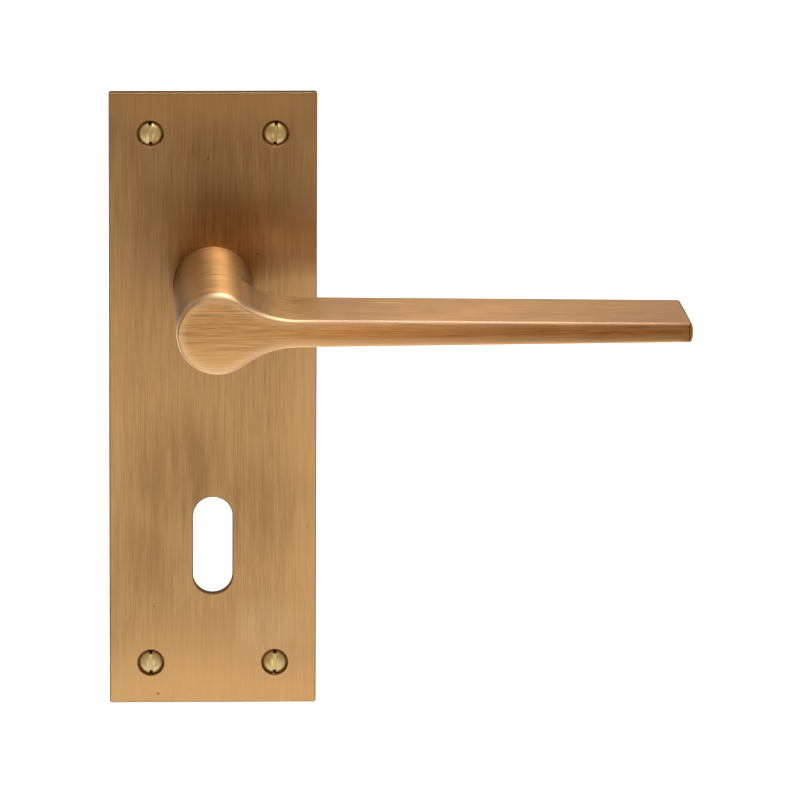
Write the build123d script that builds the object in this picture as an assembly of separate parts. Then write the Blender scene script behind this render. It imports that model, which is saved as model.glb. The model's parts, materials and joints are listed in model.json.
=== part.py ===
from build123d import *
import math
import os

# Lever handle on a lock backplate, one side of the door.
# Millimetres. The origin is where the spindle axis meets the door face.
# +Z is up, +X is the way the grip points, -Y is the room side, +Y goes into the door.

# backplate
PLATE_W = 50.0
PLATE_H = 150.0
PLATE_T = 3.0
AXIS_BELOW_TOP = 47.0
PLATE_EDGE_R = 0.35
PLATE_CORNER_R = 0.6
PLATE_FRONT = -PLATE_T
PLATE_TOP = AXIS_BELOW_TOP
PLATE_BOTTOM = AXIS_BELOW_TOP - PLATE_H

# keyhole
KEYHOLE_W = 9.5
KEYHOLE_H = 24.0
KEYHOLE_Z = -64.0
KEYHOLE_EDGE = 0.2

# wood screws, raised countersunk, slotted
SCREW_INSET = 10.0
CSK_MOUTH_R = 3.3
SCREW_HOLE_R = 1.8
HEAD_R = 2.7
HEAD_RIM = 0.15
HEAD_DOME = 0.95
SLOT_W = 0.8
SLOT_DEPTH = 1.0
SHANK_R = 1.45
SHOULDER_R = 1.7
SCREW_LENGTH = 25.0
PLAIN_SHANK = 9.0
THREAD_BODY_R = 1.25
POINT_LENGTH = 3.0
POINT_R = 0.15

# lever: neck, front disc and paddle grip
PROJECTION = 63.0
LEVER_FRONT = -PROJECTION
NECK_R = 9.65
BLEND_R = 21.4
GRIP_HALF_ROOT = 3.25
GRIP_HALF_TIP = 2.32
GRIP_DEPTH_ROOT = 29.4
GRIP_DEPTH_TIP = 29.2
TIP_X = 111.2
TIP_SET_BACK = 0.85
TIP_PLAN_R = 400.0
TIP_END_R = 6.0
FRONT_EDGE_R = 0.8
REAR_EDGE_R = 0.6

# journal behind the neck
NECK_GAP = 0.4
JOURNAL_R = 7.5
RUN_CLEAR = 0.05
FLAT_HALF = 6.25
END_CHAMFER = 0.3
SOCKET_HALF = 4.05
SOCKET_DEPTH = 31.0
GRUB_Y = -16.0
GRUB_HOLE_R = 2.5

# spindle and grub screw
SPINDLE_HALF = 4.0
SPINDLE_LENGTH = 100.0
SPINDLE_START = -33.5
SPINDLE_CHAMFER = 0.6
GRUB_R = 2.45
GRUB_LENGTH = 5.0
GRUB_SOCKET_AF = 2.5
GRUB_SOCKET_DEPTH = 2.2
GRUB_CHAMFER = 0.5
GRUB_CLEAR = 0.02

# spring housing, a cup behind the plate
HOUSING_R = 22.0
HOUSING_WALL = 1.0
HOUSING_FLOOR = 1.2
RECESS = 0.6
FIT_GAP = 0.05
COVER_FACE = 10.7
COVER_T = 1.0
STUD_RADIUS = 17.0
STUD_ANGLES = (90.0, 210.0, 330.0)
STUD_R = 1.5
STUD_HOLE_R = 1.6
STUD_HEAD_R = 2.6
STUD_HEAD_T = 1.2
STUD_END = 14.6
SLEEVE_R = 2.5
WASHER_R = 3.3
WASHER_T = 0.5
NUT_AF = 5.5
NUT_T = 1.8
NUT_CROWN = 0.25
NUT_CROWN_IN = 0.4

# bushes and washers on the journal
BUSH_R = 9.0
BUSH_PROUD = 0.3
BUSH_FLANGE_R = 11.0
FLANGE_T = 1.0
COVER_FLANGE_T = 0.8
BUSH_END = 6.5
RING_HOLE_R = 7.6
THRUST_T = 0.4
THRUST_R = 9.6
WAVE_R = 9.6
WAVE_T = 0.25
WAVE_HEIGHT = 0.5
WAVE_COUNT = 3
WAVE_STEPS = 8
CAM_FACE = 7.4
CAM_T = 2.0
CAM_R = 11.2
CAM_ARM_R = 19.6
CAM_FLAT_CLEAR = 0.04
CLIP_T = 1.0
CLIP_GROOVE_R = 7.05
CLIP_R = 9.0
CLIP_LUG_AT_R = 9.6
CLIP_LUG_R = 1.3
CLIP_EYE_R = 0.6
CLIP_LUG_DEG = 6.0
CLIP_GAP_DEG = 34.0
TRAVEL_DEG = 60.0
STOP_CLEAR_DEG = 0.25

# return spring and its pins
WIRE_R = 0.8
SPRING_R = 13.0
SPRING_TURNS = 2.5
SPRING_PITCH = 1.62
SPRING_Y = 1.9
SPRING_LEG = 11.0
MOVING_FOOT_DEG = 89.6
PIN_R = 1.5
PIN_ALONG = 8.0
PIN_CLEAR = 0.03
DRIVE_PIN_Y = 4.3
ANCHOR_PIN_Y = 3.2

# modelling allowances: how far cutters run past the faces they cut
OVER = 1.0
FAR = 20.0
# a face looks along an axis when its normal's part along it is above this
FACING = 0.99

NODES = {}


def y_cylinder(radius, y0, y1, x=0.0, z=0.0):
    """A cylinder along Y, from y0 to y1."""
    return Pos(x, (y0 + y1) / 2, z) * Rot(90, 0, 0) * Cylinder(radius, y1 - y0)


def y_tube(outer, inner, y0, y1, x=0.0, z=0.0):
    return y_cylinder(outer, y0, y1, x, z) - y_cylinder(inner, y0 - OVER, y1 + OVER, x, z)


def y_cone(r0, r1, y0, y1, x=0.0, z=0.0):
    """A cone along Y, radius r0 at y0 and r1 at y1."""
    return Pos(x, (y0 + y1) / 2, z) * Rot(-90, 0, 0) * Cone(r0, r1, y1 - y0)


def block(x0, x1, y0, y1, z0, z1):
    centre = ((x0 + x1) / 2, (y0 + y1) / 2, (z0 + z1) / 2)
    return Pos(*centre) * Box(x1 - x0, y1 - y0, z1 - z0)


def y_extrude(face, y0, y1):
    """Extrude a face drawn in the XZ plane at Y 0, from y0 to y1."""
    return Pos(0, y0, 0) * extrude(face, amount=y1 - y0, dir=(0, 1, 0))


def polar(radius, degrees):
    """X and Z at an angle from +X, anticlockwise seen from the room."""
    a = math.radians(degrees)
    return radius * math.cos(a), radius * math.sin(a)


def screw_places():
    x = PLATE_W / 2 - SCREW_INSET
    for z in (PLATE_TOP - SCREW_INSET, PLATE_BOTTOM + SCREW_INSET):
        for side in (-1, 1):
            yield side * x, z


def stud_places():
    for degrees in STUD_ANGLES:
        yield polar(STUD_RADIUS, degrees)


def keyhole_face():
    slot = SlotOverall(KEYHOLE_H, KEYHOLE_W, rotation=90)
    return Pos(0, 0, KEYHOLE_Z) * Rot(90, 0, 0) * slot


def backplate():
    plate = block(-PLATE_W / 2, PLATE_W / 2, PLATE_FRONT, 0, PLATE_BOTTOM, PLATE_TOP)
    plate = fillet(plate.edges().filter_by(Axis.Y), PLATE_CORNER_R)
    rim = plate.faces().sort_by(Axis.Y)[0].edges()
    plate = fillet(rim, PLATE_EDGE_R)
    plate -= y_extrude(keyhole_face(), PLATE_FRONT - OVER, OVER)
    mouth = [
        e
        for e in plate.faces().sort_by(Axis.Y)[0].edges()
        if abs(e.center().Z - KEYHOLE_Z) < KEYHOLE_H / 2 + OVER and abs(e.center().X) < KEYHOLE_W
    ]
    plate = chamfer(mouth, KEYHOLE_EDGE)
    cone_depth = CSK_MOUTH_R - SCREW_HOLE_R
    for x, z in screw_places():
        plate -= y_cone(CSK_MOUTH_R, SCREW_HOLE_R, PLATE_FRONT, PLATE_FRONT + cone_depth, x, z)
        plate -= y_cylinder(SCREW_HOLE_R, PLATE_FRONT, OVER, x, z)
    plate -= y_cylinder(BUSH_R + FIT_GAP, PLATE_FRONT - OVER, OVER)
    plate -= y_cylinder(HOUSING_R + FIT_GAP, -RECESS, OVER)
    for x, z in stud_places():
        plate -= y_cylinder(STUD_HEAD_R + FIT_GAP, -RECESS - STUD_HEAD_T, 0, x, z)
    return plate


def wood_screw(x, z):
    """Raised countersunk screw; its cone sits in the plate's countersink below the face."""
    rim_y = PLATE_FRONT + CSK_MOUTH_R - HEAD_R
    top_y = rim_y - HEAD_RIM - HEAD_DOME
    sphere_r = (HEAD_R**2 + HEAD_DOME**2) / (2 * HEAD_DOME)
    dome = Pos(x, top_y + sphere_r, z) * Sphere(sphere_r)
    dome &= y_cylinder(HEAD_R, top_y - OVER, rim_y - HEAD_RIM, x, z)
    head = dome + y_cylinder(HEAD_R, rim_y - HEAD_RIM, rim_y, x, z)
    cone_end = rim_y + HEAD_R - SHOULDER_R
    head += y_cone(HEAD_R, SHOULDER_R, rim_y, cone_end, x, z)
    half = SLOT_W / 2
    slot_floor = top_y + SLOT_DEPTH
    head -= block(x - half, x + half, top_y - OVER, slot_floor, z - CSK_MOUTH_R, z + CSK_MOUTH_R)
    screw = head + y_cylinder(SHOULDER_R, cone_end, 0, x, z)
    point_y = SCREW_LENGTH + rim_y - POINT_LENGTH
    screw += y_cylinder(SHANK_R, 0, PLAIN_SHANK, x, z)
    screw += y_cylinder(THREAD_BODY_R, PLAIN_SHANK, point_y, x, z)
    screw += y_cone(THREAD_BODY_R, POINT_R, point_y, point_y + POINT_LENGTH, x, z)
    return screw


def group(label, make, places):
    """One node that holds identical pieces as separate solids."""
    return Compound(label=label, children=[solid_of(make(x, z)) for x, z in places])


def solid_of(shape):
    """The one solid of a finished piece."""
    solids = shape.solids()
    assert len(solids) == 1, f"{len(solids)} solids where one was meant"
    return solids[0]


def blend_centre():
    """Centre of the hollow arc that joins the disc to the grip's upper line."""
    z = GRIP_HALF_ROOT + BLEND_R
    x = math.sqrt((NECK_R + BLEND_R) ** 2 - z**2)
    return x, z


def lever_front_face():
    """Disc, hollow blends and tapering grip, as seen from the room."""
    cx, cz = blend_centre()
    reach = NECK_R + BLEND_R
    on_disc = (cx * NECK_R / reach, cz * NECK_R / reach)
    on_grip = (cx, GRIP_HALF_ROOT)
    towards_disc = math.pi + math.atan2(cz, cx)
    mid = (towards_disc + math.pi * 1.5) / 2
    mid_arc = (cx + BLEND_R * math.cos(mid), cz + BLEND_R * math.sin(mid))
    end_x = TIP_X + OVER
    slope = (GRIP_HALF_ROOT - GRIP_HALF_TIP) / (TIP_X - cx)
    end_z = GRIP_HALF_ROOT - slope * (end_x - cx)

    def at(p, side):
        return (p[0], side * p[1])

    edges = [
        ThreePointArc(at(on_disc, 1), (-NECK_R, 0), at(on_disc, -1)),
        ThreePointArc(at(on_disc, -1), at(mid_arc, -1), at(on_grip, -1)),
        Line(at(on_grip, -1), (end_x, -end_z)),
        Line((end_x, -end_z), (end_x, end_z)),
        Line((end_x, end_z), at(on_grip, 1)),
        ThreePointArc(at(on_grip, 1), at(mid_arc, 1), at(on_disc, 1)),
    ]
    return Rot(90, 0, 0) * make_face(edges)


def grip_rear_cut():
    """Everything behind the grip's flat rear face, which leans towards the front at the tip."""
    rear_root = LEVER_FRONT + GRIP_DEPTH_ROOT
    rear_tip = LEVER_FRONT + GRIP_DEPTH_TIP
    far = TIP_X + FAR
    lean = (rear_tip - rear_root) / (TIP_X - NECK_R)
    rear_far = rear_tip + lean * FAR
    rear_near = rear_root - lean * 2 * NECK_R
    outline = Polyline(
        (-NECK_R, rear_near), (far, rear_far), (far, 0), (-NECK_R, 0), close=True
    )
    return extrude(make_face(outline), amount=2 * NECK_R, both=True)


def tip_barrel():
    """Domed end of the grip: a long arc in plan, turned about an axis along the grip's depth."""
    front = Vector(TIP_X, LEVER_FRONT)
    rear = Vector(TIP_X - TIP_SET_BACK, LEVER_FRONT + GRIP_DEPTH_TIP)
    chord = rear - front
    sagitta = TIP_PLAN_R - math.sqrt(TIP_PLAN_R**2 - (chord.length / 2) ** 2)
    outward = Vector(chord.Y, -chord.X).normalized()
    top = (front + rear) * 0.5 + outward * sagitta
    centre = top - outward * TIP_PLAN_R
    centre_line = TIP_X - TIP_END_R
    front_y = LEVER_FRONT - OVER
    rear_y = LEVER_FRONT + GRIP_DEPTH_TIP + OVER

    def arc_point(y):
        return (centre.X + math.sqrt(TIP_PLAN_R**2 - (y - centre.Y) ** 2), y)

    arc = ThreePointArc(arc_point(front_y), (top.X, top.Y), arc_point(rear_y))
    edges = [
        Line((centre_line, front_y), arc_point(front_y)),
        arc,
        Line(arc_point(rear_y), (centre_line, rear_y)),
        Line((centre_line, rear_y), (centre_line, front_y)),
    ]
    axis = Axis((centre_line, 0, 0), (0, 1, 0))
    barrel = revolve(make_face(edges), axis, 360)
    body = block(-FAR, centre_line, front_y, 0, -FAR, FAR)
    return barrel + body


def journal():
    end = COVER_FACE + COVER_T + COVER_FLANGE_T
    stem = y_cylinder(JOURNAL_R, PLATE_FRONT - NECK_GAP, end)
    for side in (-1, 1):
        low, high = sorted((side * FLAT_HALF, side * (JOURNAL_R + OVER)))
        stem -= block(-JOURNAL_R, JOURNAL_R, CAM_FACE, end + OVER, low, high)
    groove = CAM_FACE + CAM_T + FIT_GAP
    stem -= y_tube(JOURNAL_R + OVER, CLIP_GROOVE_R, groove, groove + CLIP_T)
    return chamfer(stem.faces().sort_by(Axis.Y)[-1].edges(), END_CHAMFER)


def paddle():
    """Front disc and grip: rounded along the front and rear outlines, domed at the tip."""
    body = y_extrude(lever_front_face(), LEVER_FRONT, LEVER_FRONT + GRIP_DEPTH_ROOT + OVER)
    body -= grip_rear_cut()
    body &= tip_barrel()
    faces = body.faces().sort_by(Axis.Y)
    body = fillet(faces[0].edges(), FRONT_EDGE_R)
    return fillet(rear_face(body).edges(), REAR_EDGE_R)


def rear_face(body):
    """The flat face that looks at the door."""
    back = [f for f in body.faces() if f.normal_at().Y > FACING]
    return sorted(back, key=lambda f: f.area)[-1]


def lever_handle():
    neck_end = PLATE_FRONT - NECK_GAP
    body = paddle() + y_cylinder(NECK_R, LEVER_FRONT + GRIP_DEPTH_TIP / 2, neck_end)
    body += journal()
    end = COVER_FACE + COVER_T + COVER_FLANGE_T
    h = SOCKET_HALF
    body -= block(-h, h, neck_end - SOCKET_DEPTH, end + OVER, -h, h)
    body -= Pos(0, GRUB_Y, -NECK_R / 2) * Cylinder(GRUB_HOLE_R, NECK_R + OVER)
    return body


def spindle():
    h = SPINDLE_HALF
    bar = block(-h, h, SPINDLE_START, SPINDLE_START + SPINDLE_LENGTH, -h, h)
    ends = bar.faces().sort_by(Axis.Y)
    return chamfer(ends[0].edges() + ends[-1].edges(), SPINDLE_CHAMFER)


def grub_screw():
    top = -SPINDLE_HALF - GRUB_CLEAR
    body = Pos(0, GRUB_Y, top - GRUB_LENGTH / 2) * Cylinder(GRUB_R, GRUB_LENGTH)
    body = chamfer(body.faces().sort_by(Axis.Z)[-1].edges(), GRUB_CHAMFER)
    hexagon = RegularPolygon(GRUB_SOCKET_AF / 2, 6, major_radius=False)
    socket = extrude(Pos(0, GRUB_Y, top - GRUB_LENGTH) * hexagon, GRUB_SOCKET_DEPTH)
    return body - socket


def bearing_bush():
    bush = y_cylinder(BUSH_R, PLATE_FRONT - BUSH_PROUD, BUSH_END)
    floor = HOUSING_FLOOR - RECESS
    bush += y_cylinder(BUSH_FLANGE_R, floor, floor + FLANGE_T)
    return bush - y_cylinder(JOURNAL_R + RUN_CLEAR, PLATE_FRONT - OVER, BUSH_END + OVER)


def spring_housing():
    cup = y_cylinder(HOUSING_R, -RECESS, COVER_FACE)
    cup -= y_cylinder(HOUSING_R - HOUSING_WALL, HOUSING_FLOOR - RECESS, COVER_FACE + OVER)
    cup -= y_cylinder(BUSH_R + FIT_GAP, -RECESS - OVER, OVER)
    for x, z in stud_places():
        cup -= y_cylinder(STUD_HOLE_R, -RECESS - OVER, OVER, x, z)
    x, z = anchor_place()
    return cup - y_cylinder(PIN_R, -RECESS - OVER, OVER, x, z)


def housing_cover():
    disc = y_cylinder(HOUSING_R, COVER_FACE, COVER_FACE + COVER_T)
    disc = chamfer(disc.faces().sort_by(Axis.Y)[-1].edges(), END_CHAMFER)
    disc -= y_cylinder(BUSH_R + FIT_GAP, COVER_FACE - OVER, COVER_FACE + COVER_T + OVER)
    for x, z in stud_places():
        disc -= y_cylinder(STUD_HOLE_R, COVER_FACE - OVER, COVER_FACE + COVER_T + OVER, x, z)
    return disc


def cover_bush():
    back = COVER_FACE + COVER_T
    ring = y_cylinder(BUSH_R, COVER_FACE, back)
    ring += y_cylinder(BUSH_FLANGE_R, back, back + COVER_FLANGE_T)
    return ring - y_cylinder(JOURNAL_R + RUN_CLEAR, COVER_FACE - OVER, back + OVER)


def mounting_stud(x, z):
    stud = y_cylinder(STUD_HEAD_R, -RECESS - STUD_HEAD_T, -RECESS, x, z)
    shaft = y_cylinder(STUD_R, -RECESS, STUD_END, x, z)
    shaft = chamfer(shaft.faces().sort_by(Axis.Y)[-1].edges(), END_CHAMFER)
    return stud + shaft


def spacer_sleeve(x, z):
    return y_tube(SLEEVE_R, STUD_HOLE_R, HOUSING_FLOOR - RECESS, COVER_FACE, x, z)


def stud_washer(x, z):
    back = COVER_FACE + COVER_T
    return y_tube(WASHER_R, STUD_HOLE_R, back, back + WASHER_T, x, z)


def stud_nut(x, z):
    base = COVER_FACE + COVER_T + WASHER_T
    hexagon = Rot(90, 0, 0) * RegularPolygon(NUT_AF / 2, 6, major_radius=False)
    nut = Pos(x, 0, z) * y_extrude(hexagon, base, base + NUT_T)
    corner_r = NUT_AF / math.sqrt(3)
    crown = y_cylinder(corner_r, base - OVER, base + NUT_T, x, z)
    crown = chamfer(crown.faces().sort_by(Axis.Y)[-1].edges(), NUT_CROWN, NUT_CROWN_IN)
    return (nut & crown) - y_cylinder(STUD_HOLE_R, base - OVER, base + NUT_T + OVER, x, z)


def spring_leg_frame(foot_deg, way):
    """Foot of a spring leg and its direction; way is -1 clockwise, +1 anticlockwise."""
    x, z = polar(SPRING_R, foot_deg)
    a = math.radians(foot_deg)
    return (x, z), (-way * math.sin(a), way * math.cos(a))


def pin_place(foot_deg, way):
    """Pin on the outer side of a leg, PIN_ALONG from its foot."""
    (x, z), (dx, dz) = spring_leg_frame(foot_deg, way)
    ux, uz = polar(WIRE_R + PIN_R + PIN_CLEAR, foot_deg)
    return x + ux + dx * PIN_ALONG, z + uz + dz * PIN_ALONG


def fixed_foot_deg():
    return MOVING_FOOT_DEG + 360 * SPRING_TURNS


def anchor_place():
    return pin_place(fixed_foot_deg(), 1)


def return_spring():
    """Coil that winds clockwise, seen from the room, on its way from the plate to the cam."""
    height = SPRING_TURNS * SPRING_PITCH
    coil = Helix(SPRING_PITCH, height, SPRING_R)
    coil = Pos(0, SPRING_Y, 0) * Rot(-90, 0, 0) * coil
    coil = coil.rotate(Axis.Y, -fixed_foot_deg())
    parts = []
    for at, way in ((0, -1), (1, 1)):
        p = coil.position_at(at)
        t = coil.tangent_at(at) * way
        parts.append(Line(p, p + t * SPRING_LEG))
    path = Wire([parts[0], coil.edges()[0], parts[1]])
    start = path.position_at(0)
    section = Plane(origin=start, z_dir=path.tangent_at(0)) * Circle(WIRE_R)
    return sweep(section, path=path)


def anchor_pin():
    x, z = anchor_place()
    return y_cylinder(PIN_R, -RECESS, ANCHOR_PIN_Y, x, z)


def drive_pin():
    x, z = pin_place(MOVING_FOOT_DEG, -1)
    return y_cylinder(PIN_R, DRIVE_PIN_Y, CAM_FACE + CAM_T, x, z)


def drive_cam():
    """Double-D plate; its arm swings between two spacer sleeves, which stop it."""
    half_sleeve = math.degrees(math.asin(SLEEVE_R / STUD_RADIUS))
    first = STUD_ANGLES[0] - half_sleeve - STOP_CLEAR_DEG
    last = STUD_ANGLES[2] - 360 + half_sleeve + STOP_CLEAR_DEG + TRAVEL_DEG
    a, b = polar(CAM_ARM_R, first), polar(CAM_ARM_R, last)
    mid = polar(CAM_ARM_R, (first + last) / 2)
    sector = make_face([Line((0, 0), b), ThreePointArc(b, mid, a), Line(a, (0, 0))])
    plate = y_extrude(Rot(90, 0, 0) * sector, CAM_FACE, CAM_FACE + CAM_T)
    plate += y_cylinder(CAM_R, CAM_FACE, CAM_FACE + CAM_T)
    hole = y_cylinder(JOURNAL_R + CAM_FLAT_CLEAR, CAM_FACE - OVER, CAM_FACE + CAM_T + OVER)
    flat = FLAT_HALF + CAM_FLAT_CLEAR
    hole &= block(-CAM_R, CAM_R, CAM_FACE - OVER, CAM_FACE + CAM_T + OVER, -flat, flat)
    x, z = pin_place(MOVING_FOOT_DEG, -1)
    return plate - hole - y_cylinder(PIN_R, CAM_FACE - OVER, CAM_FACE + CAM_T + OVER, x, z)


def thrust_washer():
    return y_tube(THRUST_R, RING_HOLE_R, BUSH_END, BUSH_END + THRUST_T)


def wave_washer():
    """A thin ring bent into waves around the journal, between two smooth wavy faces."""
    low = BUSH_END + THRUST_T
    swing = (WAVE_HEIGHT - WAVE_T) / 2
    middle = low + WAVE_HEIGHT / 2
    steps = WAVE_COUNT * WAVE_STEPS
    edges = []
    for radius in (RING_HOLE_R, WAVE_R):
        points = []
        for i in range(steps):
            degrees = 360 * i / steps
            x, z = polar(radius, degrees)
            y = middle - WAVE_T / 2 + swing * math.cos(math.radians(WAVE_COUNT * degrees))
            points.append((x, y, z))
        edges.append(Spline(*points, periodic=True))
    face = Face.make_surface_from_curves(edges[0], edges[1])
    return extrude(face, amount=WAVE_T, dir=(0, 1, 0))


def circlip():
    """External retaining ring in the journal's groove, open at the top, with two lugs."""
    y0 = CAM_FACE + CAM_T + FIT_GAP
    y1 = y0 + CLIP_T
    ring = y_tube(CLIP_R, CLIP_GROOVE_R, y0, y1)
    half = CLIP_GAP_DEG / 2
    for side in (-1, 1):
        x, z = polar(CLIP_LUG_AT_R, 90 + side * (half + CLIP_LUG_DEG))
        ring += y_cylinder(CLIP_LUG_R, y0, y1, x, z)
    reach = CLIP_R * 2
    a, b = polar(reach, 90 - half), polar(reach, 90 + half)
    wedge = make_face([Line((0, 0), a), Line(a, b), Line(b, (0, 0))])
    ring -= y_extrude(Rot(90, 0, 0) * wedge, y0 - OVER, y1 + OVER)
    for side in (-1, 1):
        x, z = polar(CLIP_LUG_AT_R, 90 + side * (half + CLIP_LUG_DEG))
        ring -= y_cylinder(CLIP_EYE_R, y0 - OVER, y1 + OVER, x, z)
    ring -= y_cylinder(CLIP_GROOVE_R, y0 - OVER, y1 + OVER)
    return ring


def build():
    NODES["backplate"] = backplate()
    NODES["wood_screws"] = group("wood_screws", wood_screw, screw_places())
    NODES["lever_handle"] = lever_handle()
    NODES["spindle"] = spindle()
    NODES["grub_screw"] = grub_screw()
    NODES["bearing_bush"] = bearing_bush()
    NODES["spring_housing"] = spring_housing()
    NODES["housing_cover"] = housing_cover()
    NODES["cover_bush"] = cover_bush()
    NODES["mounting_studs"] = group("mounting_studs", mounting_stud, stud_places())
    NODES["spacer_sleeves"] = group("spacer_sleeves", spacer_sleeve, stud_places())
    NODES["stud_washers"] = group("stud_washers", stud_washer, stud_places())
    NODES["stud_nuts"] = group("stud_nuts", stud_nut, stud_places())
    NODES["return_spring"] = return_spring()
    NODES["anchor_pin"] = anchor_pin()
    NODES["drive_cam"] = drive_cam()
    NODES["drive_pin"] = drive_pin()
    NODES["thrust_washer"] = thrust_washer()
    NODES["wave_washer"] = wave_washer()
    NODES["circlip"] = circlip()


build()
os.makedirs("parts", exist_ok=True)
for name, shape in NODES.items():
    export_step(shape, f"parts/{name}.step")
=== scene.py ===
import json
from math import asin, atan2, copysign, cos, pi, radians, sin, sqrt, tan, tau

import bmesh
import bpy
from mathutils import Matrix, Vector


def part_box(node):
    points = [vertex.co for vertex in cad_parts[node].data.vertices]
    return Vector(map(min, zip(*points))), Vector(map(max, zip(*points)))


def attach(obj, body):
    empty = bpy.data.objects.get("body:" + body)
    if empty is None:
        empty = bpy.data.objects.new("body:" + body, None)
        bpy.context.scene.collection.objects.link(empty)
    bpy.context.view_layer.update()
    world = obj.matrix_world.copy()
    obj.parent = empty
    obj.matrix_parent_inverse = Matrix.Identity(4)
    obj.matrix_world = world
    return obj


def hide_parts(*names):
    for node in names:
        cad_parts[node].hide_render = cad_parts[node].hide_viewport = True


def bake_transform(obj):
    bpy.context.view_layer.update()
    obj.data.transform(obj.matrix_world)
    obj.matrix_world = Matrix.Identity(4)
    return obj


# A lever handle on a lock backplate. Metres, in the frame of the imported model:
# the origin is where the spindle axis meets the door face, +X is the way the
# grip points, +Z is up and the room is at -Y.

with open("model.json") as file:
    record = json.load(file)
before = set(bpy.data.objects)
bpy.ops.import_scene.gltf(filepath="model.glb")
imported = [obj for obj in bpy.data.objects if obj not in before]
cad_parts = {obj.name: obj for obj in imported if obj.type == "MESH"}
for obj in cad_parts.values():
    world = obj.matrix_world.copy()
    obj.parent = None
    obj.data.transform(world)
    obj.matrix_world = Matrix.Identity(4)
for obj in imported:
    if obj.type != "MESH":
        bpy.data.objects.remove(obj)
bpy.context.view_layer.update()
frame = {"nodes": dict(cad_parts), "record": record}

MM = 0.001


def box_of(node):
    low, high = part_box(node)
    return Vector(low), Vector(high)


PLATE_LOW, PLATE_HIGH = box_of("backplate")
LEVER_LOW, LEVER_HIGH = box_of("lever_handle")
SCREWS_LOW, SCREWS_HIGH = box_of("wood_screws")
STUDS_HIGH = box_of("mounting_studs")[1]
NUTS_LOW, NUTS_HIGH = box_of("stud_nuts")

# camera
CAMERA_DISTANCE = 2.0
CAMERA_AZIMUTH = -2.40
CAMERA_ELEVATION = 11.72
CAMERA_ROLL = -0.29
CAMERA_LENS = 373.3
CAMERA_SENSOR = 36.0
AIM = Vector((0.0451, PLATE_LOW.y, -0.0282))

# room
FLOOR_Z = -1.2
FLOOR_HALF = 40.0
FLOOR_FRONT_Y = -2.2
FLOOR_BACK_Y = 0.4
FLOOR_MIDDLE = 0.55
MIDDLE_TONE = (0.62, 0.58, 0.54)
FRONT_TONE = (0.28, 0.19, 0.125)
SIDE_TONE = (0.15, 0.125, 0.10)
BACK_TONE = (0.6, 0.6, 0.6)
CARD_Y = -0.36

# lever shape
NECK_R = -LEVER_LOW.x
LEVER_FRONT = LEVER_LOW.y
TIP_X = LEVER_HIGH.x
NECK_END = PLATE_LOW.y - 0.4 * MM
BLEND_R = 21.4 * MM
HALF_ROOT = 3.25 * MM
HALF_TIP = 2.32 * MM
DEPTH_ROOT = 29.4 * MM
DEPTH_TIP = 29.2 * MM
TIP_DOME_R = 6.0 * MM
TIP_BACK = 0.85 * MM
CORNER_R = 0.6 * MM
TOP_EDGE_R = 1.6 * MM
LOW_EDGE_R = 0.65 * MM
GRIP_EDGE_R = 0.75 * MM
TIP_EDGE_R = 0.95 * MM
REAR_EDGE_R = 0.6 * MM
JOURNAL_R = 7.5 * MM
SOCKET_HALF = 4.05 * MM
GRUB_Y = -16.0 * MM
GRUB_HOLE_R = 2.5 * MM

# rubbing of the lever's front face next to its edges: amount at the edge, and reach
FACE_WEAR = 0.42
WEAR_REACH = 2.0 * MM

# where the values of one noise, and of several mixed, mostly lie
NOISE_SPAN = (0.3, 0.7)
MIXED_SPAN = (0.36, 0.64)

# screws, studs and the spring housing
SCREW_HEAD_R = 2.7 * MM
SCREW_X = SCREWS_HIGH.x - SCREW_HEAD_R
SCREW_TOP_Z = SCREWS_HIGH.z - SCREW_HEAD_R
SCREW_LOW_Z = SCREWS_LOW.z + SCREW_HEAD_R
PLATE_MID_Z = (SCREW_TOP_Z + SCREW_LOW_Z) / 2
STUD_R = 1.5 * MM
STUD_HEAD_R = 2.6 * MM
STUD_THREAD_Y = 11.2 * MM
HOUSING_HOLE_R = 9.05 * MM

# darker and lighter places on the plate: centre x and z, half width and height in mm, and
# strength. The darker ones below the lever's axis are bronzing, and the three above it are
# painted shade and reflection of the lever. The lighter ones are worn places, and the first
# is painted light beside the grip.
PATINA_AND_SHADE_CLOUDS = [
    (-7.0, -47.5, 18.0, 23.0, 0.42),
    (0.0, 22.0, 16.0, 22.0, 0.26),
    (-14.0, 16.0, 11.0, 30.0, 0.22),
    (11.0, -54.0, 19.0, 19.0, 0.34),
    (-16.0, -66.0, 15.0, 17.0, 0.26),
    (19.0, 24.0, 10.0, 17.0, 0.30),
    (-24.0, -66.0, 6.0, 40.0, 0.22),
]
RUBBED_AND_LIT_SPOTS = [
    (19.5, 11.5, 15.0, 9.5, 0.70),
    (13.0, -84.0, 13.0, 10.0, 0.22),
    (-14.0, 33.0, 8.0, 12.0, 0.15),
]


# ---- stage

def new_object(name, data):
    """Put a mesh, light or camera in the scene."""
    made = bpy.data.objects.new(name, data)
    bpy.context.scene.collection.objects.link(made)
    return made


def make_camera():
    """Long lens, a little above the lever and to its left."""
    a = radians(CAMERA_AZIMUTH)
    e = radians(CAMERA_ELEVATION)
    back = Vector((sin(a) * cos(e), -cos(a) * cos(e), sin(e)))
    right = Vector((cos(a), sin(a), 0.0))
    up = back.cross(right)
    r = radians(CAMERA_ROLL)
    x_axis = right * cos(r) - up * sin(r)
    y_axis = right * sin(r) + up * cos(r)
    data = bpy.data.cameras.new("camera")
    data.lens = CAMERA_LENS
    data.sensor_width = CAMERA_SENSOR
    data.clip_start = 0.05
    data.clip_end = 200.0
    camera = new_object("camera", data)
    turn = Matrix((x_axis, y_axis, back)).transposed()
    camera.matrix_world = Matrix.Translation(AIM + back * CAMERA_DISTANCE) @ turn.to_4x4()
    bpy.context.scene.camera = camera


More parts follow.
